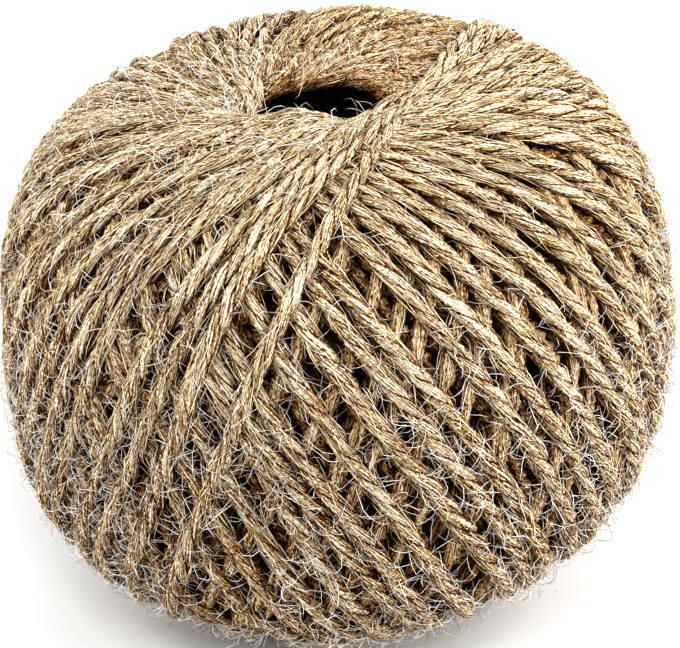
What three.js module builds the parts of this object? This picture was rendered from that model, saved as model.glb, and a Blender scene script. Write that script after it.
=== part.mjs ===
// Ball of three-ply jute twine, wound by machine about an open eye.
// Millimetres, +Z up, the ball resting on z = 0 with its eye on top.
import * as THREE from "three";

// --- the ball, built up of turns of twine 2.3 thick -------------------------------------------------
const BALL_WIDTH = 80;
const CROWN_RISE = 34.2; // from the widest level up to the top turns
const BELLY_DROP = 30.4; // from the widest level down to the lowest turns
const CROWN_FULLNESS = 3.2; // exponent of the rounded-square shoulder
const BELLY_FULLNESS = 2.7;
const SETTLED = 0.8; // how much of the underside the resting ball presses flat
const LEAN_DEG = 4.5; // the crown leans toward -X, the underside stays level

// --- the two eyes left by the winding spindle ---------------------------------
const EYE_MOUTH_RADIUS = 13; // where the crown begins to roll into the eye
const EYE_THROAT_RADIUS = 5.4;
const EYE_FLOOR_RADIUS = 4.6;
const EYE_THROAT_DEPTH = 6.5;
const EYE_DEPTH = 16;
const UNDER_EYE_MOUTH_RADIUS = 5.6;
const UNDER_EYE_THROAT_RADIUS = 3.6;
const UNDER_EYE_DEPTH = 8;

// --- the main twists of the winding -------------------------------------------
const TWIST_COUNT = 26; // each broad twist stands for two turns lying together
const TWIST_DEPTH = 0.6;
const TURN_TILT_DEG = 16; // how far each turn passes from the eye's centre
const LAST_TURN_TILT_DEG = 20.5;
const LAST_TURN_AZIMUTH_DEG = -23; // the way the last turn stands off the eye
const BAND_WIDTH = 6.5; // the last turns, lying side by side as a raised band
const BAND_SHELTER = 9; // how far beyond the band the crossed turns stay low
const BAND_STEP = 1.1;

// --- how finely the round form is divided --------------------------------------
const ROUND_STEPS = 132;
const SHOULDER_STEPS = 12;
const BELLY_STEPS = 11;
const MOUTH_STEPS = 4;

const RADIUS = BALL_WIDTH / 2;
const FLOOR_LEVEL = -BELLY_DROP + SETTLED;

function radians(degrees) {
  return THREE.MathUtils.degToRad(degrees);
}

// Height of the rounded-square curve above or below the widest level.
function curveHeight(radius, rise, fullness) {
  const share = Math.min(radius / RADIUS, 1);
  return rise * (1 - share ** fullness) ** (1 / fullness);
}

// The radius at which the underside's curve meets the pressed flat.
function flatRadius() {
  const share = 1 - (-FLOOR_LEVEL / BELLY_DROP) ** BELLY_FULLNESS;
  return RADIUS * share ** (1 / BELLY_FULLNESS);
}

// Half of the ball's cross-section, from the under eye's floor to the top eye's.
function ballProfile() {
  const points = [
    new THREE.Vector2(0, FLOOR_LEVEL + UNDER_EYE_DEPTH),
    new THREE.Vector2(UNDER_EYE_THROAT_RADIUS * 0.8, FLOOR_LEVEL + UNDER_EYE_DEPTH),
    new THREE.Vector2(UNDER_EYE_THROAT_RADIUS, FLOOR_LEVEL + UNDER_EYE_DEPTH * 0.5),
    new THREE.Vector2(UNDER_EYE_THROAT_RADIUS * 1.15, FLOOR_LEVEL + UNDER_EYE_DEPTH * 0.15),
    new THREE.Vector2(UNDER_EYE_MOUTH_RADIUS, FLOOR_LEVEL),
  ];
  const flat = flatRadius();
  for (let step = 0; step <= BELLY_STEPS; step += 1) {
    const start = Math.asin((flat / RADIUS) ** (BELLY_FULLNESS / 2));
    const angle = THREE.MathUtils.lerp(start, Math.PI / 2, step / BELLY_STEPS);
    const radius = RADIUS * Math.sin(angle) ** (2 / BELLY_FULLNESS);
    points.push(new THREE.Vector2(radius, -curveHeight(radius, BELLY_DROP, BELLY_FULLNESS)));
  }
  for (let step = 1; step <= SHOULDER_STEPS; step += 1) {
    const end = Math.asin((EYE_MOUTH_RADIUS / RADIUS) ** (CROWN_FULLNESS / 2));
    const angle = THREE.MathUtils.lerp(Math.PI / 2, end, step / SHOULDER_STEPS);
    const radius = RADIUS * Math.sin(angle) ** (2 / CROWN_FULLNESS);
    points.push(new THREE.Vector2(radius, curveHeight(radius, CROWN_RISE, CROWN_FULLNESS)));
  }
  for (let step = 1; step <= MOUTH_STEPS; step += 1) {
    const angle = (step / MOUTH_STEPS) * (Math.PI / 2);
    const radius = EYE_MOUTH_RADIUS - (EYE_MOUTH_RADIUS - EYE_THROAT_RADIUS) * Math.sin(angle);
    points.push(new THREE.Vector2(radius, CROWN_RISE - EYE_THROAT_DEPTH * (1 - Math.cos(angle))));
  }
  points.push(new THREE.Vector2(EYE_FLOOR_RADIUS, CROWN_RISE - EYE_DEPTH));
  points.push(new THREE.Vector2(0, CROWN_RISE - EYE_DEPTH));
  return points;
}

// A full turn lies almost in one plane; this is that plane's outward side for the last one.
function lastTurnSide() {
  const tilt = radians(LAST_TURN_TILT_DEG);
  const azimuth = radians(LAST_TURN_AZIMUTH_DEG);
  return new THREE.Vector3(
    -Math.cos(tilt) * Math.cos(azimuth),
    -Math.cos(tilt) * Math.sin(azimuth),
    Math.sin(tilt),
  );
}

// How far each spot of the surface lies below the highest turns.
// On one side of the last turn the twists rise to the right, on the other to the left.
function reliefDepth(spot, lastSide) {
  const polar = Math.acos(spot.z / spot.length());
  const azimuth = Math.atan2(spot.y, spot.x);
  const reach = Math.tan(radians(TURN_TILT_DEG)) / Math.tan(polar);
  const swing = Math.acos(THREE.MathUtils.clamp(reach, -1, 1));
  const fromLast = spot.dot(lastSide);
  const crossing = fromLast > 0 ? azimuth + swing : azimuth - swing;
  const groove = 0.5 - 0.5 * Math.cos(TWIST_COUNT * crossing);
  const twist = TWIST_DEPTH * groove ** 1.5;
  if (fromLast > 0) {
    const offBand = THREE.MathUtils.smoothstep(fromLast, BAND_WIDTH * 0.5, BAND_WIDTH * 2);
    return twist * offBand + 0.5 * BAND_STEP * offBand;
  }
  const crossed = THREE.MathUtils.smoothstep(-fromLast, 0, BAND_WIDTH * 0.4);
  const risen = THREE.MathUtils.smoothstep(-fromLast, BAND_SHELTER, BAND_SHELTER * 2.5);
  return twist * crossed + BAND_STEP * crossed * (1 - 0.5 * risen);
}

// The relief dies away inside both eyes and on the pressed flat.
function reliefShare(radius, level) {
  const abovePressed = THREE.MathUtils.smoothstep(level - FLOOR_LEVEL, 0.3, 5);
  const outsideEye = THREE.MathUtils.smoothstep(radius, EYE_THROAT_RADIUS + 0.5, EYE_MOUTH_RADIUS + 3);
  const isCrown = level > 0;
  return abovePressed * (isCrown ? outsideEye : 1);
}

// Turning about the ball's centre that grows from nothing at the belly to the full lean on top.
function leanOver(spot) {
  const share = THREE.MathUtils.smoothstep(spot.z, FLOOR_LEVEL * 0.55, CROWN_RISE * 0.7);
  const angle = -radians(LEAN_DEG) * share;
  return spot.applyAxisAngle(new THREE.Vector3(0, 1, 0), angle);
}

// The origin is the middle of the ball's outline on the floor.
function standOnFloor(geometry) {
  geometry.computeBoundingBox();
  const middle = geometry.boundingBox.getCenter(new THREE.Vector3());
  geometry.translate(-middle.x, -middle.y, -FLOOR_LEVEL);
}

function windBall() {
  const geometry = new THREE.LatheGeometry(ballProfile(), ROUND_STEPS);
  geometry.rotateX(Math.PI / 2);
  const lastSide = lastTurnSide();
  const positions = geometry.attributes.position;
  for (let index = 0; index < positions.count; index += 1) {
    const spot = new THREE.Vector3().fromBufferAttribute(positions, index);
    const radius = Math.hypot(spot.x, spot.y);
    const share = reliefShare(radius, spot.z);
    if (share > 0) {
      const inward = spot.clone().normalize();
      spot.addScaledVector(inward, -reliefDepth(spot, lastSide) * share);
    }
    leanOver(spot);
    positions.setXYZ(index, spot.x, spot.y, spot.z);
  }
  standOnFloor(geometry);
  geometry.computeVertexNormals();
  return geometry;
}

const juteTwine = new THREE.MeshStandardMaterial({
  name: "jute_twine",
  color: "#b88a55",
  roughness: 0.95,
  metalness: 0,
});

const part = new THREE.Group();
part.name = "twine_ball";

const woundBall = new THREE.Mesh(windBall(), juteTwine);
woundBall.name = "wound_ball";
part.add(woundBall);

export default part;
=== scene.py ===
# %% [markdown]
# # A ball of jute twine
# Jute twine is sold as a machine-wound ball: one long three-ply twine laid turn after turn round a
# spindle, which leaves an open eye on top. This lesson winds such a ball with one formula, presses
# the turns down onto each other, spins the plies, and ends with the loose fibres, the finishes, the
# table and the light. Nearly every length of the twine and its fibres follows from the size of the
# packed ball.

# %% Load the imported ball
import math

import bpy
import numpy as np
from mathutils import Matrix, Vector


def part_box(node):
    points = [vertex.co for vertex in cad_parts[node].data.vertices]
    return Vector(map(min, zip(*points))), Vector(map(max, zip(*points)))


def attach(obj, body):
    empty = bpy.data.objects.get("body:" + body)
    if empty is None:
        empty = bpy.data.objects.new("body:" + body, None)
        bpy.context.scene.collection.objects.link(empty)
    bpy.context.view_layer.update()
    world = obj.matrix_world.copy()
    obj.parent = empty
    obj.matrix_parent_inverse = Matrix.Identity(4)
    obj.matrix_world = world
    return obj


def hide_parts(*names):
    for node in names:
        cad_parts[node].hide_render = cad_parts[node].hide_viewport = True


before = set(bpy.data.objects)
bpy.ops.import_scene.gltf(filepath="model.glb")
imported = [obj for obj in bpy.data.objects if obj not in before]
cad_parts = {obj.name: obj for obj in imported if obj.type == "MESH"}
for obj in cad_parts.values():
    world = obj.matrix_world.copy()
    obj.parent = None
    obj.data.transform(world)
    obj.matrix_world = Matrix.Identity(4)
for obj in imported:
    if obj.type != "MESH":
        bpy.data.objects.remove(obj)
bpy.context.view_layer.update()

# %% [markdown]
# ## The ball's size
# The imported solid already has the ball's width and height. Measuring it here, instead of typing the
# sizes again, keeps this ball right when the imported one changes.

# %% Measure the ball
ball_low, ball_high = (np.array(corner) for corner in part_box("wound_ball"))
ball_radius = 0.5 * (ball_high[0] - ball_low[0])
ball_height = ball_high[2] - ball_low[2]
centre_height = 0.4595 * ball_height
print(f"ball: {2000 * ball_radius:.1f} mm wide, {1000 * ball_height:.1f} mm tall")

# %% [markdown]
# ## The outer form
# A wound ball is a rounded oblong turned about the upright axis: broad shoulders above, a belly that
# draws in below, here most on the right, and a flat where it rests. It could be sculpted or turned.
# Here only a formula is kept, for how far the surface lies in any direction, because that is all
# that the winding needs, and the turns themselves then make the surface.

# %% Write the outer form as a formula
crown_rise = 0.528 * ball_height
belly_drop = 0.472 * ball_height
crown_fullness = 3.15
belly_fullness = 2.7
right_draw = 0.12
flat_begins = 0.2


def eased(value, start, end):
    """0 before start, 1 after end, with a soft change between."""
    share = np.clip((value - start) / (end - start), 0, 1)
    return share * share * (3 - 2 * share)


def ball_reach(toward):
    """Distance from the ball's centre to its surface along each direction."""
    across = np.hypot(toward[..., 0], toward[..., 1]) / ball_radius
    up = toward[..., 2]
    rise = np.abs(up) / np.where(up > 0, crown_rise, belly_drop)
    fullness = np.where(up > 0, crown_fullness, belly_fullness)
    reach = (across**fullness + rise**fullness) ** (-1 / fullness)
    reach *= 1 - right_draw * np.clip(toward[..., 0], 0, 1) * np.clip(-up, 0, 1)
    flat = centre_height / np.maximum(-up, flat_begins)
    return np.where(up < -flat_begins, np.minimum(reach, flat), reach)


sideways_reach = ball_reach(np.array([1.0, 0.0, 0.0]))
print(f"form: reaches {1000 * sideways_reach:.1f} mm to the side")

# %% [markdown]
# ## The lean of the crown
# A soft ball doesn't stand quite true. Its underside settles level on the table while the crown
# leans a few degrees. Turning the whole ball would lift its flat off the table, so the lean is a
# turning that grows with height.

# %% Lean the crown
crown_lean = math.radians(4.5)
lean_begins = -0.25 * ball_height
lean_full = 0.37 * ball_height


def lean_over(spots):
    """Turns spots about the ball's centre, more the higher they lie, and stands them on the table."""
    angle = -crown_lean * eased(spots[..., 2], lean_begins, lean_full)
    turned = spots.copy()
    turned[..., 0] = spots[..., 0] * np.cos(angle) + spots[..., 2] * np.sin(angle)
    turned[..., 2] = spots[..., 2] * np.cos(angle) - spots[..., 0] * np.sin(angle) + centre_height
    return turned


print(f"crown leans {math.degrees(crown_lean):.1f} degrees")

# %% [markdown]
# ## The camera
# A wound ball looks best from the front and a little above, where the eye of the winding shows as a
# dark slot near the top. A long lens from far away keeps the ball's outline from swelling.

# %% Set up the camera
view_elevation = math.radians(30.5)
view_distance = 20 * ball_radius
frame_share = 1.022
view_width = 2.05 * ball_radius
aim = Vector((0.0, 0.0, 0.488 * ball_height))
camera_data = bpy.data.cameras.new("camera")
camera_data.sensor_width = 36
camera_data.lens = frame_share * camera_data.sensor_width * view_distance / view_width
camera_data.clip_start = 0.05
camera_data.clip_end = 20
camera = bpy.data.objects.new("camera", camera_data)
bpy.context.scene.collection.objects.link(camera)
toward_camera = Vector((0, -math.cos(view_elevation), math.sin(view_elevation)))
camera.location = aim + toward_camera * view_distance
camera.rotation_euler = (-toward_camera).to_track_quat("-Z", "Y").to_euler()
bpy.context.scene.camera = camera
print(f"camera: {view_distance:.2f} m away, lens {camera_data.lens:.0f} mm")

# %% [markdown]
# ## How a machine winds the ball
# The spindle carries the ball while a flyer lays the twine. Each turn lies almost in one plane that
# passes beside the poles, so it touches a small circle round the eye, and each next turn lies a few
# degrees further round. The turns could be drawn by hand as curves, but a few angles that change
# slowly from turn to turn give all of them, with the crossings of a real winding. They are counted
# back from the newest turn, which lies on top.

# %% Count the turns
twine_thickness = 0.0605 * ball_radius
turn_count = 106
spots_per_turn = 320
turn_advance = math.radians(6.8)
turn = np.arange(turn_count * spots_per_turn) / spots_per_turn
print(f"winding: {turn_count} turns, {len(turn)} spots, twine {1000 * twine_thickness:.2f} mm thick")

# %% [markdown]
# ## A hand that wanders
# Nothing in a real winding is quite even. Noise at every spot would make the twine shiver, so this
# helper draws one random value for every stretch of twine and eases from each to the next.

# %% Let values wander along the twine
def wander(knots_per_turn, amount, seed):
    """Smooth random drift along the twine, with a fresh value at every knot."""
    draw = np.random.default_rng(seed)
    knots = turn * knots_per_turn
    values = draw.normal(0, amount, int(knots[-1]) + 3)
    below = knots.astype(int)
    share = eased(knots - below, 0, 1)
    return values[below] * (1 - share) + values[below + 1] * share


example_drift = wander(2, 1.0, seed=11)
print(f"wander: from {example_drift.min():.1f} to {example_drift.max():.1f} times its amount")

# %% [markdown]
# ## The angles of every turn
# Three angles say where a turn lies: its azimuth, how far its plane tilts at the belly, and how far
# it passes from the pole. The belly tilt swings slowly in and out, which makes the layers cross. The
# last turns pass wide of the eye on one side as a band, and the turns below them pass closer, so the
# distance to the eye is read between a few chosen turns. Below the newest layer the azimuth wanders
# more, so that the twine seen in the gaps isn't in step with the twine above it.

# %% Plan the angles
newest_azimuth = math.radians(-20)
newest_sweep = 0.85 * math.pi
azimuth_drift = math.radians(1.7)
extra_drift = 0.9
extra_drift_turns = (24, 30)
belly_tilt_mean = math.radians(25)
belly_tilt_swing = math.radians(4)
belly_tilt_drift = math.radians(1.1)
eye_tilt_drift = math.radians(1.0)
swing_period = math.radians(132)
spindle_share = 0.25
eye_turns = (0, 4, 8.5, 12, 16, 20, 24, 28, 38, 48, 106)
eye_degrees = (19, 16, 14, 9, 15, 16, 14, 11, 9, 14, 19)

sweep = newest_sweep - 2 * math.pi * turn
loosened = 1 + extra_drift * eased(turn, *extra_drift_turns)
azimuth = newest_azimuth - turn_advance * turn + wander(2, azimuth_drift, seed=11) * loosened
swing = np.cos(math.pi * turn_advance * turn / swing_period)
belly_tilt = belly_tilt_mean - belly_tilt_swing * swing + wander(2, belly_tilt_drift, seed=14)
eye_tilt = np.radians(np.interp(turn, eye_turns, eye_degrees)) + wander(2, eye_tilt_drift, seed=12)
eye_tilt = np.arcsin(np.sin(eye_tilt) / (1 - spindle_share * turn / turn_count))
print(f"eye tilt: {math.degrees(eye_tilt.min()):.0f} to {math.degrees(eye_tilt.max()):.0f} degrees")

# %% [markdown]
# ## Directions along the twine
# A turn that passes the pole at a given tilt needs two directions: the one to its nearest point, and
# the one in which it runs there. Cosine and sine of the sweep then give every direction on it. Close
# to the poles each turn slides from its belly tilt to its eye tilt. A small sideways drift keeps the
# turns from looking drawn with a compass.

# %% Turn the angles into directions
slide_sharpness = 3.1
sideways_drift = 0.007


def unit(vectors):
    """The same directions with length 1."""
    return vectors / np.linalg.norm(vectors, axis=-1, keepdims=True)


flat_out = np.stack([np.cos(azimuth), np.sin(azimuth), np.zeros_like(azimuth)], axis=1)
running = np.stack([-np.sin(azimuth), np.cos(azimuth), np.zeros_like(azimuth)], axis=1)
nearest = flat_out * np.sin(belly_tilt)[:, None]
nearest[:, 2] = np.cos(belly_tilt)
sideways = np.cross(nearest, running) * wander(9, sideways_drift, seed=13)[:, None]
circle = unit(nearest * np.cos(sweep)[:, None] + running * np.sin(sweep)[:, None] + sideways)
from_belly = np.abs(circle[:, 2]) / np.cos(belly_tilt)
slide = (belly_tilt - eye_tilt) * from_belly**slide_sharpness
polar = np.arccos(circle[:, 2]) - np.sign(circle[:, 2]) * slide
across = np.sin(polar) / np.hypot(circle[:, 0], circle[:, 1])
toward = np.stack([circle[:, 0] * across, circle[:, 1] * across, np.cos(polar)], axis=1)
print(f"directions: {len(toward)}, up to {toward[:, 2].max():.2f} of the way to the pole")

# %% [markdown]
# ## First depths
# On the machine each turn lands on the older ones, and the ball grows. It is easier to think
# backwards: the newest turns lie on the outer form, and every older one starts a little deeper.

# %% Lay each turn at its first depth
layer_thickness = 0.30 * twine_thickness
crown_sink = 0.2 * twine_thickness
crown_packing = 0.55
crown_begins = 0.72
crown_full = 0.97
reach = ball_reach(toward)
heading = unit(np.gradient(toward, axis=0))
crown_share = eased(toward[:, 2], crown_begins, crown_full)
layers_above = turn_advance * turn / math.pi * (1 - crown_packing * crown_share)
first_depth = 0.5 * twine_thickness + crown_sink * crown_share + layer_thickness * layers_above
print(f"first depth: {1000 * first_depth.min():.1f} to {1000 * first_depth.max():.1f} mm")

# %% [markdown]
# ## Which turns press on which
# A cloth or rope simulation could settle the turns, but it is slow and hard to steer. Here every
# pair of spots that lie closer than the room they need is found once, with the depth that keeps them
# apart. The room is a little less than half the twine's thickness, because soft turns sink into each
# other. Crossing turns need more of it than turns that lie side by side, and near the poles, where
# all of them meet, the twine is squeezed.

# %% Find the pairs
crossing_room = 0.45 * twine_thickness
along_room = 0.43 * twine_thickness
crowded_share = 0.40
crowding_begins = 0.82
crowding_full = 0.96
crossing_gain = 2.5


def pair_room(older_spots, newer_spots):
    """Room that each pair needs, from how they cross and how near the pole they lie."""
    crossing = np.linalg.norm(np.cross(heading[older_spots], heading[newer_spots]), axis=1)
    room = along_room + (crossing_room - along_room) * np.clip(crossing * crossing_gain, 0, 1)
    crowding = eased(np.abs(toward[older_spots, 2]), crowding_begins, crowding_full)
    return room * (1 - (1 - crowded_share) * crowding)


def pairs_below(block):
    """Pairs (older, newer) whose older spot is in this block of spots, and the depth each asks for."""
    newer_side = toward[: block[-1] + 1].astype(np.float32)
    closeness = toward[block].astype(np.float32) @ newer_side.T
    rows, newer_spots = np.nonzero(closeness > np.cos(crossing_room / reach[block].min()))
    older_spots = block[rows]
    own_turn = older_spots - newer_spots <= spots_per_turn // 3
    older_spots, newer_spots = older_spots[~own_turn], newer_spots[~own_turn]
    apart = np.linalg.norm(toward[older_spots] - toward[newer_spots], axis=1) * reach[older_spots]
    room = pair_room(older_spots, newer_spots)
    touching = apart < room
    asked = np.sqrt(room[touching] ** 2 - apart[touching] ** 2)
    return older_spots[touching], newer_spots[touching], asked


blocks = np.split(np.arange(len(turn)), np.arange(spots_per_turn // 2, len(turn), spots_per_turn))
found = [pairs_below(block) for block in blocks[1:]]
older, newer, needed = (np.concatenate(part) for part in zip(*found))
order = np.argsort(older, kind="stable")
older, newer, needed = older[order], newer[order], needed[order]
print(f"pairs: {len(older)}")

# %% [markdown]
# ## Press the turns down
# Depth is passed down from the newer spot of each pair to the older one, again and again, so that
# a deep turn feels everything above it. A taut twine can't dip sharply between two crossings, so
# after each pass its depth is spread and rounded off along its length.

# %% Press and smooth
pressing_passes = 16
spot_gap = 2 * math.pi * ball_radius / spots_per_turn
spread_spots = int(0.5 * twine_thickness / spot_gap)
smooth_spots = 1.1 * twine_thickness / spot_gap
bell_reach = int(3 * smooth_spots)
bell = np.exp(-0.5 * (np.arange(-bell_reach, bell_reach + 1) / smooth_spots) ** 2)
bell /= bell.sum()


def taut(depth):
    """Spreads each dip along the twine, then rounds it off."""
    padded = np.pad(depth, spread_spots, mode="edge")
    windows = np.lib.stride_tricks.sliding_window_view(padded, 2 * spread_spots + 1)
    return np.convolve(np.pad(windows.max(axis=1), bell_reach, mode="edge"), bell, mode="valid")


first_of_each = np.flatnonzero(np.r_[True, older[1:] != older[:-1]])
pressed_spots = older[first_of_each]
depth = first_depth
for _ in range(pressing_passes):
    pushed = first_depth.copy()
    asked = np.maximum.reduceat(depth[newer] + needed, first_of_each)
    pushed[pressed_spots] = np.maximum(pushed[pressed_spots], asked)
    depth = np.maximum(taut(pushed), first_depth)
print(f"depth: up to {1000 * depth.max():.1f} mm, mean {1000 * depth.mean():.1f} mm")

# %% [markdown]
# ## Tuck in the newest end
# The seller pushes the loose end under the neighbouring turns, so that the ball doesn't unwind. A
# short stretch at the newest end therefore dives into the ball instead of stopping in the open.

# %% Tuck the end and place the twine's middle line
tuck_turns = 0.06
tuck_depth = 2.2 * twine_thickness
depth = depth + (1 - eased(turn, 0, tuck_turns)) * tuck_depth
middle_line = lean_over(toward * (reach - depth)[:, None])
print(f"middle line: {1000 * middle_line[:, 2].min():.1f} to {1000 * middle_line[:, 2].max():.1f} mm up")

# %% [markdown]
# ## Follow the twine
# The spun tube, and later its loose fibres, need the same things at any place along the twine: where
# its middle is, which way is out of the ball, which way is aside, and how thick it is. Jute is spun
# unevenly, so the thickness wanders.

# %% Measure along the twine
uneven_spinning = 0.075
crown_squeeze = 0.06
squeeze_begins = 0.35
squeeze_full = 0.75
steps = np.linalg.norm(np.diff(middle_line, axis=0), axis=1)
along = np.concatenate([[0.0], np.cumsum(steps)])
running_on = unit(np.gradient(middle_line, axis=0))
from_centre = middle_line - np.array([0, 0, centre_height])
out_of_ball = unit(from_centre - running_on * np.sum(from_centre * running_on, axis=1, keepdims=True))
squeezed = 1 - crown_squeeze * eased(toward[:, 2], squeeze_begins, squeeze_full)
twine_radius = 0.5 * twine_thickness * squeezed * (1 + wander(12, uneven_spinning, seed=21))


def read_along(places, values):
    """Values kept for each spot, read at any distance along the twine."""
    if values.ndim == 1:
        return np.interp(places, along, values)
    return np.stack([np.interp(places, along, values[:, axis]) for axis in range(3)], axis=-1)


def twine_at(places):
    """Middle, outward, aside and radius of the twine at each place."""
    forward = read_along(places, running_on)
    outward = read_along(places, out_of_ball)
    outward = unit(outward - forward * np.sum(outward * forward, axis=-1, keepdims=True))
    aside = np.cross(forward, outward)
    return read_along(places, middle_line), outward, aside, read_along(places, twine_radius)


def place_of_turn(turn_number):
    """Distance along the twine at which a turn begins."""
    return along[min(int(turn_number * spots_per_turn), len(along) - 1)]


print(f"twine: {along[-1]:.1f} m on the ball")

# %% [markdown]
# ## Number the corners of a tube
# The twine and its fibres are all tubes: rings of corners, joined by four-sided faces. Blender's
# curves could make tubes too, but only numbered corners let each ring have its own shape and turn.
# Each face has two corners on one ring and two on the next. Numbered this way, faces point outward
# where the corners run anticlockwise seen along the tube, as the heart's do. The corners of the twine
# and its fibres run clockwise, so their faces point inward, and their finishes show on both sides.

# %% Helper for the sides of a tube
def tube_sides(rings, corners):
    """Corner numbers of the four-sided faces between the rings of a tube."""
    ring = np.arange(rings - 1)[:, None] * corners
    here = np.arange(corners)[None, :]
    beside = (here + 1) % corners
    sides = [ring + here + corners, ring + beside + corners, ring + beside, ring + here]
    return np.stack(sides, axis=2).reshape(-1, 4)


print(f"a tube of 3 rings with 4 corners: {len(tube_sides(3, 4))} faces")

# %% [markdown]
# ## Build meshes from whole arrays
# The meshes have tens of thousands of faces, which Blender fills fastest from whole arrays. Each
# corner also carries facts that the finishes read later: its place in the twine, how deep it lies
# in a groove between plies, and how much shade is painted on it for lying hidden from the light.

# %% Helper for meshes with facts
fact_names = ("groove", "hidden")


def make_piece(name, spots, loops, counts, facts):
    """A mesh from corner numbers and corners per face, with its facts stored at each corner."""
    mesh = bpy.data.meshes.new(name)
    mesh.vertices.add(len(spots))
    mesh.vertices.foreach_set("co", spots.astype(np.float32).ravel())
    mesh.loops.add(len(loops))
    mesh.loops.foreach_set("vertex_index", loops.astype(np.int32))
    mesh.polygons.add(len(counts))
    mesh.polygons.foreach_set("loop_start", (np.cumsum(counts) - counts).astype(np.int32))
    mesh.update(calc_edges=True)
    mesh.validate()
    mesh.shade_smooth()
    place = mesh.attributes.new("twine_place", "FLOAT_VECTOR", "POINT")
    place.data.foreach_set("vector", facts[:, :3].astype(np.float32).ravel())
    for column, fact_name in enumerate(fact_names, start=3):
        fact = mesh.attributes.new(fact_name, "FLOAT", "POINT")
        fact.data.foreach_set("value", facts[:, column].astype(np.float32))
    piece = bpy.data.objects.new(name, mesh)
    bpy.context.scene.collection.objects.link(piece)
    print(f"{name}: {len(loops) - 2 * len(counts)} triangles")
    return piece


print("facts at each corner: twine_place,", ", ".join(fact_names))

# %% [markdown]
# ## Close a tube
# An open tube would let light in at its ends. Each end of the twine therefore gets one flat cap,
# with its corners numbered in the same sense as the sides, so that the two agree.

# %% Helper for closed tubes
def tube_piece(name, rings, facts):
    """Joins rings of corners into one tube that is closed at both ends."""
    ring_count, corners = rings.shape[:2]
    sides = tube_sides(ring_count, corners)
    first_cap = np.arange(corners)
    last_cap = ring_count * corners - 1 - np.arange(corners)
    loops = np.concatenate([sides.ravel(), first_cap, last_cap])
    counts = np.concatenate([np.full(len(sides), 4), [corners, corners]])
    return make_piece(name, rings.reshape(-1, 3), loops, counts, facts.reshape(-1, facts.shape[2]))


print("tubes are closed by two caps")

# %% [markdown]
# ## Spin the twine
# Three plies lie round each other in a left-hand lay, like the middle stroke of an S. Three separate
# tubes would need many corners. One tube whose section has three lobes does the same when each ring
# is turned a little further than the last: the mesh's edges then run along the plies. Where the
# ball rests, its weight presses the twine flat on the table.

# %% Spin one stretch of twine
plies = 3
lay_length = 4.4 * twine_thickness
uneven_lay = 1.1
uneven_plies = 0.07
ridge_height = 0.9
lay_drift = wander(5, uneven_lay, seed=35)
ply_swell = [1 + wander(23, uneven_plies, seed=31 + ply) for ply in range(plies)]


def pressed_flat(spots):
    """The same spots, with those that would sink into the table pressed flat on it."""
    rested = spots.copy()
    rested[..., 2] = np.maximum(rested[..., 2], 0)
    return rested


def spin_rings(first_turn, last_turn, ring_gap, lobe):
    """Rings of three-lobed twine between two turns, with the facts of each corner."""
    start, end = place_of_turn(first_turn), place_of_turn(last_turn)
    places = np.linspace(start, end, int((end - start) / ring_gap) + 1)
    middle, outward, aside, radius = twine_at(places)
    lay = read_along(places, lay_drift) - 2 * math.pi * places / lay_length
    deep_low_shade = depth_and_low_shade(places, middle)
    corners, facts = [], []
    for ply in range(plies):
        swell = read_along(places, ply_swell[ply]) - 1
        for share, height in lobe:
            angle = lay + 2 * math.pi * (ply + share) / plies
            far = radius * (height + swell * (height > ridge_height))
            up, across = far * np.cos(angle), far * np.sin(angle)
            corners.append(middle + outward * up[:, None] + aside * across[:, None])
            facts.append(corner_facts(places, angle, lay, 1 - height, deep_low_shade))
    return pressed_flat(np.stack(corners, axis=1)), np.stack(facts, axis=1)


print(f"lay: one full turn of the plies every {1000 * lay_length:.1f} mm")

# %% [markdown]
# ## Facts for the finish
# Fibre streaks have to follow the twine, so the finish can't use places in space. Each corner gets
# coordinates in the twine's own section and along its length instead. They turn with the plies only
# in part, because in soft jute most fibres run nearly along the twine. Each corner also gets an
# amount of painted shade: more on the side that faces into the ball, deeper in the ball and lower
# towards the table, where less light falls.

# %% Work out each corner's facts
fibre_lay_share = 0.35
# Painted shade: darker deep in the ball, low towards the table and on the side facing inward.
depth_shade = 0.14
low_shade = 0.50
flank_shade = 1.4
flank_begins = 0.05
flank_full = 0.55
shade_full_height = 0.25 * ball_height
shade_ends_height = 0.85 * ball_height


def depth_and_low_shade(places, middle):
    """How much shade is painted on the twine for its depth in the ball and for lying low towards the table.
    """
    # Painted shade for depth and for lying low, where less light falls.
    below_surface = read_along(places, depth) / twine_thickness - 0.5
    low = 1 - eased(middle[:, 2], shade_full_height, shade_ends_height)
    return depth_shade * below_surface + low_shade * low


def corner_facts(places, angle, lay, groove, deep_low_shade):
    """Section coordinates, place along the twine, groove and painted shade of one row of corners."""
    fibre_angle = angle - fibre_lay_share * lay
    fibre_up = 0.5 * twine_thickness * np.cos(fibre_angle)
    fibre_across = 0.5 * twine_thickness * np.sin(fibre_angle)
    # Painted shade on the side of the twine that faces into the ball.
    facing_in = eased(0.5 - 0.5 * np.cos(angle), flank_begins, flank_full)
    hidden = flank_shade * facing_in + deep_low_shade
    return np.stack([fibre_up, fibre_across, places, np.full_like(places, groove), hidden], axis=1)


print(f"fibres turn with {100 * fibre_lay_share:.0f}% of the lay")

# %% [markdown]
# ## Three stretches of twine
# The newest turns are seen from close by and get fine rings. The ones below show in the gaps between
# them, and the deepest only as a glint, so each stretch is coarser than the one above it. All three
# are the same twine, and their meshes meet end to end.

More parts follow.
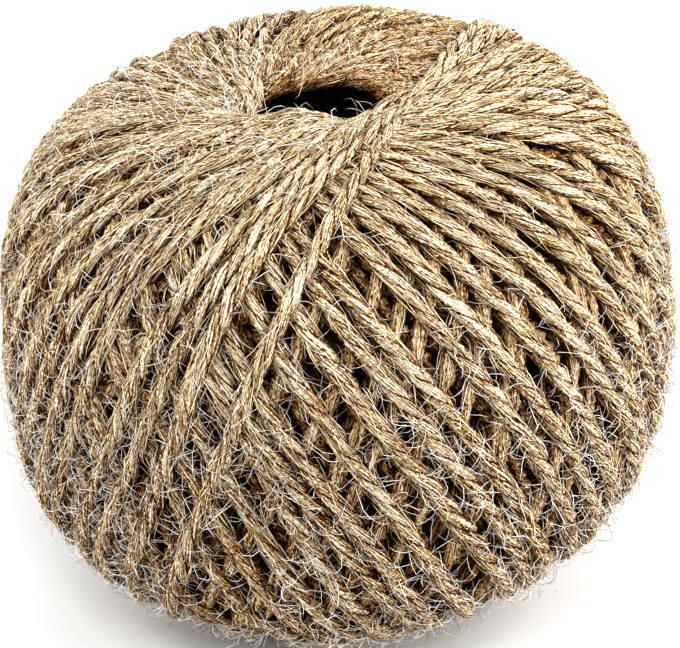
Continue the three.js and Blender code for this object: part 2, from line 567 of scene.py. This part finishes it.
# %% Make the three stretches
fine_lobe = ((0.0, 1.0), (0.25, 0.95), (0.5, 0.71), (0.75, 0.95))
plain_lobe = ((-0.22, 0.98), (0.22, 0.98), (0.5, 0.82))
round_lobe = ((0.0, 0.97), (0.5, 0.92))
fine_gap = 0.35 * twine_thickness
plain_gap = 0.46 * twine_thickness
round_gap = 0.80 * twine_thickness
under_begins = 27
deep_begins = 54
outer_turns = tube_piece("outer_turns", *spin_rings(0, under_begins, fine_gap, fine_lobe))
under_turns = tube_piece("under_turns", *spin_rings(under_begins, deep_begins, plain_gap, plain_lobe))
deep_turns = tube_piece("deep_turns", *spin_rings(deep_begins, turn_count, round_gap, round_lobe))

# %% [markdown]
# ## The heart of the ball
# Behind the modelled turns lie many more, and without them light would fall through the gaps. One
# plain form inside stands for them. It follows the outer form at a fixed depth, and sinks further
# at the poles, because the spindle left a hollow below the eye.

# %% Fill the heart
heart_rings, heart_corners = 40, 64
heart_depth = 3.3 * twine_thickness
spindle_hollow = 5.6 * twine_thickness
hollow_begins = 0.74
hollow_full = 0.96
heart_fact = 0.2
pole_gap = 0.02
heart_polar = np.linspace(pole_gap, math.pi - pole_gap, heart_rings)[:, None]
heart_round = np.linspace(0, 2 * math.pi, heart_corners, endpoint=False)[None, :]
heart_up = np.cos(heart_polar) + 0 * heart_round
heart_flat_out = [np.sin(heart_polar) * np.cos(heart_round), np.sin(heart_polar) * np.sin(heart_round)]
heart_toward = np.stack([*heart_flat_out, heart_up], axis=2)
sink = heart_depth + spindle_hollow * eased(np.abs(heart_up), hollow_begins, hollow_full)
heart_spots = lean_over(heart_toward * (ball_reach(heart_toward) - sink)[..., None])
plain_facts = np.full((*heart_spots.shape[:2], len(fact_names)), heart_fact)
heart = tube_piece("heart", heart_spots, np.concatenate([heart_spots, plain_facts], axis=2))

# %% [markdown]
# ## Fibres as thin tubes
# Jute is hairy: the ends of its fibres stand off the twine everywhere. Blender's hair curves would
# do for a picture, but this ball is also kept as plain meshes. Each fibre is therefore a closed
# tube with three sides that ends in points, and all fibres of one kind are one mesh.

# %% Make one mesh of many fibres
def fibre_piece(name, paths, thickness, facts, seed):
    """Closed three-sided tubes that end in points, one along each path."""
    fibres, points = paths.shape[:2]
    inner_rings = points - 2
    forward = unit(np.gradient(paths, axis=1))
    guide = np.random.default_rng(seed).normal(size=(fibres, 1, 3))
    side = unit(np.cross(forward, guide))
    other = np.cross(forward, side)
    rings = []
    for angle in np.arange(3) * 2 * math.pi / 3:
        away = (side * math.cos(angle) + other * math.sin(angle)) * 0.5 * thickness[:, None, None]
        rings.append((paths + away)[:, 1:-1])
    tube = np.stack(rings, axis=2).reshape(fibres, inner_rings * 3, 3)
    spots = np.concatenate([tube, paths[:, :1], paths[:, -1:]], axis=1)
    return make_piece(name, spots.reshape(-1, 3), *fibre_faces(fibres, inner_rings),
                      np.repeat(facts, inner_rings * 3 + 2, axis=0))


def fibre_faces(fibres, inner_rings):
    """Corner numbers and corners per face of many three-sided tubes with pointed ends."""
    corner = np.arange(3)
    beside = (corner + 1) % 3
    last_ring = (inner_rings - 1) * 3
    first_point = np.full(3, inner_rings * 3)
    sides = tube_sides(inner_rings, 3)
    first_tip = np.stack([first_point, corner, beside], axis=1)
    last_tip = np.stack([first_point + 1, last_ring + beside, last_ring + corner], axis=1)
    one_fibre = np.concatenate([sides.ravel(), first_tip.ravel(), last_tip.ravel()])
    fibre_starts = np.arange(fibres)[:, None] * (inner_rings * 3 + 2)
    counts = np.tile([4] * len(sides) + [3] * 6, fibres)
    return (fibre_starts + one_fibre[None, :]).ravel(), counts


print(f"a fibre with 9 points: {len(fibre_faces(1, 7)[0]) - 2 * len(fibre_faces(1, 7)[1])} triangles")

# %% [markdown]
# ## Short fibres along the twine
# Many loose ends are short and lie almost flat, which roughens the twine's edge. They start anywhere
# on the outward side of the newer turns and follow them, drifting a little round the twine and
# lifting towards their tips.

# %% Lay the short fibres
first_root = 0.1
short_points = 4
short_lengths = (0.9, 2.6)
short_thicknesses = (0.03, 0.055)
short_root_angle = 1.7
drift_round = 0.35
tip_lift = 0.09
clinging_share = 0.96


def lay_short_fibres(name, count, last_turn, seed):
    """Short fibres that cling to the twine."""
    draw = np.random.default_rng(seed)
    step = np.linspace(0, 1, short_points)
    root = draw.uniform(first_root, place_of_turn(last_turn), count)
    length = draw.uniform(*short_lengths, count) * twine_thickness
    middle, outward, aside, radius = twine_at(root[:, None] + length[:, None] * step)
    start_angle = draw.uniform(-short_root_angle, short_root_angle, count)[:, None]
    angle = start_angle + draw.normal(0, drift_round, count)[:, None] * (2 * step - 1)
    rising = 0.2 + 0.8 * step
    lift = np.abs(draw.normal(0, tip_lift, (count, short_points))) * twine_thickness * rising
    far = radius * clinging_share + lift
    up, across = far * np.cos(angle), far * np.sin(angle)
    paths = pressed_flat(middle + outward * up[..., None] + aside * across[..., None])
    thickness = draw.uniform(*short_thicknesses, count) * twine_thickness
    return fibre_piece(name, paths, thickness, draw.uniform(0, 1, (count, 5)), seed)


short_fibres = lay_short_fibres("short_fibres", 9000, last_turn=30, seed=51)

# %% [markdown]
# ## Where long fibres grow
# Rubbed against boxes and hands, a ball grows a cloud of long curly fibres on its belly, while the
# tight crown stays smoother. The eye's rim is hairy again, where the turns bend most. So roots are
# drawn everywhere on the newer turns, and kept more often low on the ball and round the eye.

# %% Choose the roots
crown_hair_share = 0.11
eye_hair_share = 0.28
oldest_hairy_turn = 40
belly_hair_height = 0.48 * ball_height
crown_hair_height = 0.95 * ball_height
rim_begins = 0.12
rim_ends = 0.20
rim_height = 0.75 * ball_height
draws_per_root = 4


def choose_roots(draw, count):
    """Places along the twine where long fibres grow, more of them low and round the eye."""
    root = draw.uniform(first_root, place_of_turn(oldest_hairy_turn), draws_per_root * count)
    middle = read_along(root, middle_line)
    low = 1 - eased(middle[:, 2], belly_hair_height, crown_hair_height)
    from_axis = np.hypot(middle[:, 0], middle[:, 1]) / ball_radius
    at_eye = (1 - eased(from_axis, rim_begins, rim_ends)) * (middle[:, 2] > rim_height)
    hairiness = crown_hair_share + (1 - crown_hair_share) * low + eye_hair_share * at_eye
    return root[draw.uniform(0, 1, draws_per_root * count) < hairiness][:count]


print(f"hair on the crown: {100 * crown_hair_share:.0f}% of the belly's")

# %% [markdown]
# ## Hold the long fibres close
# Loose fibres don't stand off a ball like bristles, because their neighbours hold them down, and
# they don't vanish into the gaps either. So each fibre has a height just under the outer form at
# which it floats, and its tip is turned towards that height at every step.

# %% Helper that steers a fibre
pull_to_surface = 1.2
farthest_pull = 1.2


def steer(spot, heading_now, float_height):
    """Turns a fibre's tip towards the height at which it floats."""
    outward_from_centre = spot - np.array([0, 0, centre_height])
    far = np.linalg.norm(outward_from_centre, axis=1)
    outward_here = outward_from_centre / far[:, None]
    too_low = (float_height - far + ball_reach(outward_here)) / twine_thickness
    pull = np.clip(too_low, -farthest_pull, farthest_pull) * pull_to_surface
    return unit(heading_now + outward_here * pull[:, None])


print(f"strongest pull: {farthest_pull * pull_to_surface:.2f} times a fibre's own heading")

# %% [markdown]
# ## Curl the long fibres
# A long fibre leaves the twine at a slant and bends round an axis of its own with a little jitter.
# Growing it step by step gives loops and tangles that no single curve formula would.

# %% Grow the long fibres
curl_spread = 0.42
jitter = 0.13
long_root_angle = 1.4
root_share = 0.9
along_twine = 0.8
slants = (0.1, 0.8)
first_scatter = 0.5
shortest_share = 0.35
float_heights = (-1.0, -0.15)
lowest_share = 0.02
long_thicknesses = (0.019, 0.034)


def grow_long_fibres(name, count, points, longest, seed):
    """Long fibres that leave the twine, curl, and float near the ball's surface."""
    draw = np.random.default_rng(seed)
    middle, outward, aside, radius = twine_at(choose_roots(draw, count))
    count = len(middle)
    angle = draw.uniform(-long_root_angle, long_root_angle, count)[:, None]
    leaving = outward * np.cos(angle) + aside * np.sin(angle)
    spot = middle + leaving * (root_share * radius)[:, None]
    forward = np.cross(aside, outward) * draw.choice([-1.0, 1.0], count)[:, None]
    slant = leaving * draw.uniform(*slants, count)[:, None]
    heading_now = unit(forward * along_twine + slant + draw.normal(0, first_scatter, (count, 3)))
    step = draw.uniform(shortest_share, 1, count)[:, None] * longest / (points - 1)
    curl_axis = unit(draw.normal(0, 1, (count, 3)))
    curl = np.abs(draw.normal(0, curl_spread, count))[:, None]
    float_height = draw.uniform(*float_heights, count) * twine_thickness
    path = [spot]
    for _ in range(points - 1):
        bent = heading_now + np.cross(curl_axis, heading_now) * curl
        heading_now = steer(spot, bent + draw.normal(0, jitter, (count, 3)), float_height)
        spot = spot + heading_now * step
        spot[:, 2] = np.maximum(spot[:, 2], lowest_share * twine_thickness)
        path.append(spot)
    thickness = draw.uniform(*long_thicknesses, count) * twine_thickness
    return fibre_piece(name, np.stack(path, axis=1), thickness, draw.uniform(0, 1, (count, 5)), seed)


loose_fibres = grow_long_fibres("loose_fibres", 11000, 5, 2.2 * twine_thickness, seed=61)
curled_fibres = grow_long_fibres("curled_fibres", 7000, 6, 2.7 * twine_thickness, seed=63)
long_fibres = grow_long_fibres("long_fibres", 3300, 9, 4.2 * twine_thickness, seed=62)

# %% [markdown]
# ## Tools for mixing finishes
# A finish is a tree of nodes, and building one by code quickly drowns in links. These small helpers
# each add one node and connect it: `feed` takes either a plain number or another node's output, so
# that the recipes below read like sums.

# %% Helpers that add and connect nodes
def add_node(tree, kind, **settings):
    """A new node with the given settings."""
    node = tree.nodes.new(kind)
    for setting, value in settings.items():
        setattr(node, setting, value)
    return node


def feed(node, inputs):
    """Gives inputs of a node their numbers, or links them to other nodes' outputs."""
    for key, value in inputs.items():
        if isinstance(value, bpy.types.NodeSocket):
            node.id_data.links.new(value, node.inputs[key])
        else:
            node.inputs[key].default_value = value
    return node


print("node helpers: add_node, feed")

# %% [markdown]
# ## Sums, ramps and new finishes
# A few steps come back in the finishes: a sum on numbers, a ramp that turns a number into a colour,
# and a new material whose roughness and shine are plain numbers on its shader.

# %% Helpers for sums, ramps and finishes
def maths(tree, operation, *values, clamp=False):
    """One sum on numbers."""
    node = add_node(tree, "ShaderNodeMath", operation=operation, use_clamp=clamp)
    return feed(node, dict(enumerate(values))).outputs[0]


def above(tree, value, start, gain):
    """0 up to the start, then rising quickly to 1."""
    return maths(tree, "MULTIPLY", maths(tree, "SUBTRACT", value, start), gain, clamp=True)


def new_finish(name, roughness, shine):
    """A material with its tree and shader."""
    material = bpy.data.materials.new(name)
    material.use_nodes = True
    shader = material.node_tree.nodes["Principled BSDF"]
    feed(shader, {"Roughness": roughness, "Specular IOR Level": shine})
    return material, material.node_tree, shader


def ramp(tree, value, stops):
    """Colours chosen by a number between 0 and 1."""
    node = feed(add_node(tree, "ShaderNodeValToRGB"), {"Fac": value})
    elements = node.color_ramp.elements
    elements[0].position, elements[1].position = stops[0][0], stops[-1][0]
    for position, _ in stops[1:-1]:
        elements.new(position)
    for element, (_, colour) in zip(elements, stops):
        element.color = (*colour, 1)
    return node.outputs["Color"]


print("node helpers: maths, above, new_finish, ramp")

# %% [markdown]
# ## Textures that follow the twine
# Jute fibres are long and thin, so their streaks are noise that is drawn out along the twine. The
# noise reads the coordinates stored in `twine_place`, never places in space, so that the streaks
# bend and twist with the twine.

# %% Helpers for streaks
def fact(tree, name, output="Fac"):
    """A fact stored at the corners of the twine."""
    return add_node(tree, "ShaderNodeAttribute", attribute_name=name).outputs[output]


def drawn_out(tree, per_metre_round, per_metre_along):
    """Coordinates of the twine, closer together round it than along it."""
    scale = (per_metre_round, per_metre_round, per_metre_along)
    mapping = feed(add_node(tree, "ShaderNodeMapping"),
                   {"Vector": fact(tree, "twine_place", "Vector"), "Scale": scale})
    return mapping.outputs["Vector"]


def streaks(tree, per_metre_round, per_metre_along, detail, roughness=0.5):
    """Noise drawn out along the twine."""
    texture = feed(add_node(tree, "ShaderNodeTexNoise"), {
        "Vector": drawn_out(tree, per_metre_round, per_metre_along),
        "Scale": 1.0, "Detail": detail, "Roughness": roughness})
    return texture.outputs["Fac"]


def spread(tree, value, gain):
    """Noise around 0 instead of around a half, made stronger or weaker."""
    return maths(tree, "MULTIPLY", maths(tree, "SUBTRACT", value, 0.5), gain)


print("streaks follow twine_place")

# %% [markdown]
# ## Bundles of fibre
# Within a ply the fibres cling together in flat bundles with fine dark lines between them. Voronoi
# cells drawn out along the twine have just that pattern. A little noise bends them first, because
# straight cell borders would look cut with a knife.

# %% Helper for fibre bundles
def fibre_bundles(tree):
    """A tone for each bundle of fibres, and the distance to its edge."""
    bending = feed(add_node(tree, "ShaderNodeTexNoise"),
                   {"Vector": drawn_out(tree, 1500, 330), "Scale": 0.6, "Detail": 1.0})
    bent = feed(add_node(tree, "ShaderNodeVectorMath", operation="ADD"),
                {0: drawn_out(tree, 3300, 150), 1: bending.outputs["Color"]}).outputs[0]
    cells = feed(add_node(tree, "ShaderNodeTexVoronoi"), {"Vector": bent, "Scale": 1.0})
    tone = feed(add_node(tree, "ShaderNodeSeparateXYZ"), {"Vector": cells.outputs["Color"]})
    edges = add_node(tree, "ShaderNodeTexVoronoi", feature="DISTANCE_TO_EDGE")
    feed(edges, {"Vector": bent, "Scale": 1.0})
    return tone.outputs["X"], edges.outputs["Distance"]


print("bundles: about 0.3 mm across")

# %% [markdown]
# ## Where shade is painted on the jute
# Shade is painted into the twine's colour in three places: the groove between two plies, the places
# that face into the ball or lie deep or low in it, and every crease where strands touch. Render light
# alone leaves creases this small too bright, so an ambient occlusion node, which feels how close
# other surfaces are, sets how much painted shade each crease gets.

# %% Helper for the painted shade
crease_reach = 0.0014
crease_shade = 0.66
hidden_shade = 0.33
groove_shade = 0.75
groove_begins = 0.22
groove_sharpness = 20.0


def painted_shade(tree):
    """How much shade is painted into the twine in its grooves, on its hidden side and in creases."""
    # Painted shade in the grooves between plies.
    groove_line = above(tree, fact(tree, "groove"), groove_begins, groove_sharpness)
    in_groove = maths(tree, "MULTIPLY", groove_line, groove_shade)
    # Painted shade on the hidden side and where the twine lies deep or low, from the stored fact.
    facing_in = maths(tree, "MULTIPLY", fact(tree, "hidden"), hidden_shade)
    # Painted shade in creases, as strong as the ambient occlusion there.
    openness = feed(add_node(tree, "ShaderNodeAmbientOcclusion", samples=4), {"Distance": crease_reach})
    closed = maths(tree, "SUBTRACT", 1.0, openness.outputs["AO"])
    in_crease = maths(tree, "MULTIPLY", closed, crease_shade)
    return maths(tree, "ADD", maths(tree, "ADD", in_groove, facing_in), in_crease)


print(f"creases darken within {1000 * crease_reach:.1f} mm")

# %% [markdown]
# ## The colours of jute
# Raw jute runs from dark brown over golden tan to straw. Colours mixed apart for every kind of
# streak would soon clash. A row of colours along one number, from the darkest painted shade to the
# palest fibre, keeps light and dark fibres, and the painted shade, in the right hue.

# %% Choose the jute colours
jute_stops = (
    (0.00, (0.030, 0.007, 0.002)),
    (0.30, (0.195, 0.060, 0.010)),
    (0.55, (0.465, 0.255, 0.068)),
    (0.78, (0.66, 0.545, 0.28)),
    (1.00, (0.93, 0.925, 0.76)),
)
print(f"jute colours: {len(jute_stops)}")

# %% [markdown]
# ## The tone of jute
# The number along that row gathers everything that makes the twine lighter or darker. It starts
# from a plain tone, adds the fibres, strands, patches and bundles, and takes away the dark threads,
# the bundles' edges and the painted shade.

# %% Mix the tone
plain_tone = 0.99
fibre_contrast = 3.8
strand_contrast = 0.4
patch_contrast = 0.5
bundle_contrast = 0.2
thread_level = 0.42
thread_sharpness = 14.0
thread_shade = 0.48
edge_sharpness = 11.0
edge_shade = 1.2


def jute_tone(tree, fibres, bundle_tone, bundle_edge):
    """Light and dark of the twine, 0 for the darkest painted shade and 1 for the palest fibre."""
    strands = streaks(tree, 1700, 90, detail=1.0)
    patches = streaks(tree, 230, 60, detail=2.0)
    below_level = maths(tree, "SUBTRACT", thread_level, streaks(tree, 5200, 130, detail=1.0))
    dark_threads = maths(tree, "MULTIPLY", below_level, thread_sharpness, clamp=True)
    edge_line = maths(tree, "MULTIPLY_ADD", bundle_edge, -edge_sharpness, 1.0, clamp=True)
    lighter = [
        spread(tree, fibres, fibre_contrast),
        spread(tree, strands, strand_contrast),
        spread(tree, patches, patch_contrast),
        spread(tree, bundle_tone, bundle_contrast),
    ]
    darker = [
        maths(tree, "MULTIPLY", dark_threads, thread_shade),
        maths(tree, "MULTIPLY", edge_line, maths(tree, "MULTIPLY", strands, edge_shade)),
        # Painted shade of grooves, hidden sides and creases.
        painted_shade(tree),
    ]
    tone = plain_tone
    for part in lighter:
        tone = maths(tree, "ADD", tone, part)
    for part in darker:
        tone = maths(tree, "SUBTRACT", tone, part)
    return tone


print(f"plain tone: {plain_tone}")

# %% [markdown]
# ## The jute finish
# Dry jute hardly shines, so the finish is rough, with the tone's colours and a shallow relief of
# bundles and fibres. The relief is too fine for the mesh, which is why it is bump. The same recipe,
# with darker and browner colours, serves the deeper turns and the heart as painted shade: the
# deeper they lie, the dimmer and more golden the light that reaches them from other strands.

# %% Mix the jute finish
fibre_relief = 0.0003
bundle_relief = 1.6


def jute_finish(name, tint):
    """Jute twine, with its colours multiplied by a tint, which paints shade on the deeper stretches."""
    material, tree, shader = new_finish(name, roughness=0.75, shine=0.12)
    fibres = streaks(tree, 7000, 190, detail=2.0, roughness=0.62)
    bundle_tone, bundle_edge = fibre_bundles(tree)
    tone = jute_tone(tree, fibres, bundle_tone, bundle_edge)
    tinted_stops = [(position, np.multiply(colour, tint)) for position, colour in jute_stops]
    height = maths(tree, "MULTIPLY_ADD", bundle_edge, bundle_relief, fibres)
    bump = feed(add_node(tree, "ShaderNodeBump"),
                {"Height": height, "Strength": 1.0, "Distance": fibre_relief})
    feed(shader, {"Base Color": ramp(tree, tone, tinted_stops), "Normal": bump.outputs["Normal"]})
    return material


outer_turns.data.materials.append(jute_finish("jute", (1.0, 1.0, 1.0)))
# Painted shade: each deeper stretch, and the heart most, gets darker, browner colours.
under_turns.data.materials.append(jute_finish("jute_below", (0.94, 0.85, 0.74)))
deep_turns.data.materials.append(jute_finish("jute_deep", (0.80, 0.64, 0.46)))
heart.data.materials.append(jute_finish("jute_heart", (0.42, 0.29, 0.17)))
print("jute finishes mixed: 4")

# %% [markdown]
# ## The finish of single fibres
# A single fibre is nearly one colour, but no two are alike: most are bleached straw, a few are dark
# bark. Each fibre carries random numbers where the twine has its coordinates, so one ramp gives
# every fibre its own tone, and a fine noise in space mottles it along its length.

# %% Mix the fibre finishes
mottle_per_metre = 900
mottle_contrast = 0.5
palest_from = 0.6


def fibre_finish(name, bark, straw):
    """Single fibres between a bark and a straw colour."""
    material, tree, shader = new_finish(name, roughness=0.6, shine=0.5)
    own_numbers = fact(tree, "twine_place", "Vector")
    own_number = feed(add_node(tree, "ShaderNodeSeparateXYZ"), {"Vector": own_numbers})
    in_space = add_node(tree, "ShaderNodeTexCoord").outputs["Object"]
    mottle = feed(add_node(tree, "ShaderNodeTexNoise"), {"Vector": in_space, "Scale": mottle_per_metre})
    tone = maths(tree, "ADD", own_number.outputs["X"], spread(tree, mottle.outputs["Fac"], mottle_contrast))
    feed(shader, {"Base Color": ramp(tree, tone, ((0.0, bark), (palest_from, straw)))})
    return material


short_fibres.data.materials.append(fibre_finish("short_fibre", (0.20, 0.10, 0.04), (0.90, 0.74, 0.46)))
long_fibre_finish = fibre_finish("long_fibre", (0.20, 0.13, 0.09), (0.96, 0.94, 0.90))
for piece in (loose_fibres, curled_fibres, long_fibres):
    piece.data.materials.append(long_fibre_finish)
print("fibre finishes mixed: 2")

# %% [markdown]
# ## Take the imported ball's place
# The plain packed ball stays for collision, but must not show inside the wound one. All pieces move
# with it and stand for its twine.

# %% Hang the pieces on the ball
ball_pieces = [
    outer_turns, under_turns, deep_turns, heart,
    short_fibres, loose_fibres, curled_fibres, long_fibres,
]
for piece in ball_pieces:
    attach(piece, "root")
    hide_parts("wound_ball")
print(f"pieces of the ball: {len(ball_pieces)}")

# %% [markdown]
# ## The table
# A catalogue picture stands the ball on a plain pale sheet. A large flat face is enough, wide enough
# that its edge stays out of sight.

# %% Lay the table
table_half = 12.0
corner_signs = ((-1, -1), (1, -1), (1, 1), (-1, 1))
table_mesh = bpy.data.meshes.new("table")
table_mesh.from_pydata([(x * table_half, y * table_half, 0) for x, y in corner_signs], [], [(0, 1, 2, 3)])
table = bpy.data.objects.new("table", table_mesh)
bpy.context.scene.collection.objects.link(table)
table_finish, _, table_shader = new_finish("pale_table", roughness=0.9, shine=0.5)
feed(table_shader, {"Base Color": (0.76, 0.76, 0.76, 1)})
table.data.materials.append(table_finish)
print(f"table: {2 * table_half:.0f} m wide")

# %% [markdown]
# ## The light
# Soft lamps keep the gaps between strands readable. One lamp stands in front and above, with large
# ones left and right for the flanks and a low one behind for the back. Dim even light from all round
# fills the shadows.

# %% Light the ball
fill_strength = 0.33
world = bpy.data.worlds.new("studio")
bpy.context.scene.world = world
world.use_nodes = True
feed(world.node_tree.nodes["Background"], {"Color": (1, 1, 1, 1), "Strength": fill_strength})


def soft_lamp(name, spot, size, watts):
    """A round lamp that faces the ball."""
    lamp_data = bpy.data.lights.new(name, "AREA")
    lamp_data.shape = "DISK"
    lamp_data.size = size
    lamp_data.energy = watts
    lamp = bpy.data.objects.new(name, lamp_data)
    bpy.context.scene.collection.objects.link(lamp)
    lamp.location = spot
    lamp.rotation_euler = (aim - Vector(spot)).to_track_quat("-Z", "Y").to_euler()
    print(f"{name}: {watts} W")


soft_lamp("front", (-0.08, -0.47, 0.69), 0.30, 2.1)
soft_lamp("left", (-0.70, -0.10, 0.45), 0.70, 5.9)
soft_lamp("right", (0.70, -0.15, 0.45), 0.90, 12.4)
soft_lamp("behind", (-0.10, 0.75, 0.30), 0.60, 3.8)

# %% [markdown]
# ## The tone of the picture
# Blender's usual film look softens strong colours. Twine looks truer with the plain standard
# transform, and a little extra contrast brings out its dark gaps and bright fibres.

# %% Set the picture's tone
view = bpy.context.scene.view_settings
view.view_transform = "Standard"
view.look = "Medium High Contrast"
print("tone:", view.view_transform, view.look)
